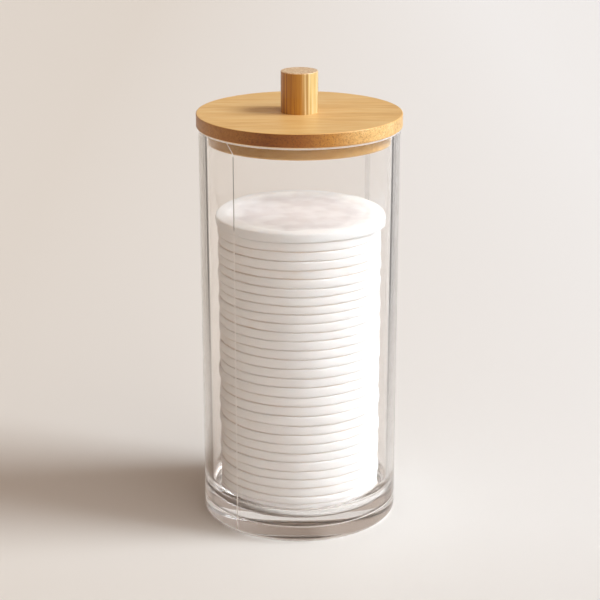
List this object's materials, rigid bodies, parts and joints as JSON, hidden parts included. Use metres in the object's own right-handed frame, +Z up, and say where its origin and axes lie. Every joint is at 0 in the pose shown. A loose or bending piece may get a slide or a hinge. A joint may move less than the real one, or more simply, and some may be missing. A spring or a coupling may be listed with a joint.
{
  "type": "vanity storage jar",
  "caption": "Tall straight clear jar with a plug-in turned wooden lid and dowel knob, filled with a stack of round cotton pads.",
  "frame": {"origin": "middle of the jar's underside", "axes": "+Z up along the jar's axis; -Y is the side that the picture shows"},
  "size_m": [0.0716, 0.0716, 0.1617],
  "materials": {
    "clear_plastic": "clear, polished, colourless",
    "bamboo": "sanded and oiled, fine straight grain",
    "bamboo_dowel": "sanded and oiled, grain along the dowel",
    "screw_steel": "zinc plated",
    "cotton": "soft pressed cotton with a fuzzy edge"
  },
  "bodies": {
    "root": {"jar": "clear_plastic", "pad_01": "cotton", "pad_02": "cotton", "pad_03": "cotton", "pad_04": "cotton", "pad_05": "cotton", "pad_06": "cotton", "pad_07": "cotton", "pad_08": "cotton", "pad_09": "cotton", "pad_10": "cotton", "pad_11": "cotton", "pad_12": "cotton", "pad_13": "cotton", "pad_14": "cotton", "pad_15": "cotton", "pad_16": "cotton", "pad_17": "cotton", "pad_18": "cotton", "pad_19": "cotton", "pad_20": "cotton", "pad_21": "cotton", "pad_22": "cotton", "pad_23": "cotton", "pad_24": "cotton", "pad_25": "cotton", "pad_26": "cotton", "pad_27": "cotton", "pad_28": "cotton", "pad_29": "cotton", "pad_30": "cotton", "pad_31": "cotton"},
    "lid": {"lid": "bamboo", "knob": "bamboo_dowel", "lid_screw": "screw_steel"}
  },
  "joints": [
    {"name": "lid_lift", "type": "slide", "parent": "root", "child": "lid", "axis": [0, 0, 1], "range_m": [0, 0.09]}
  ]
}
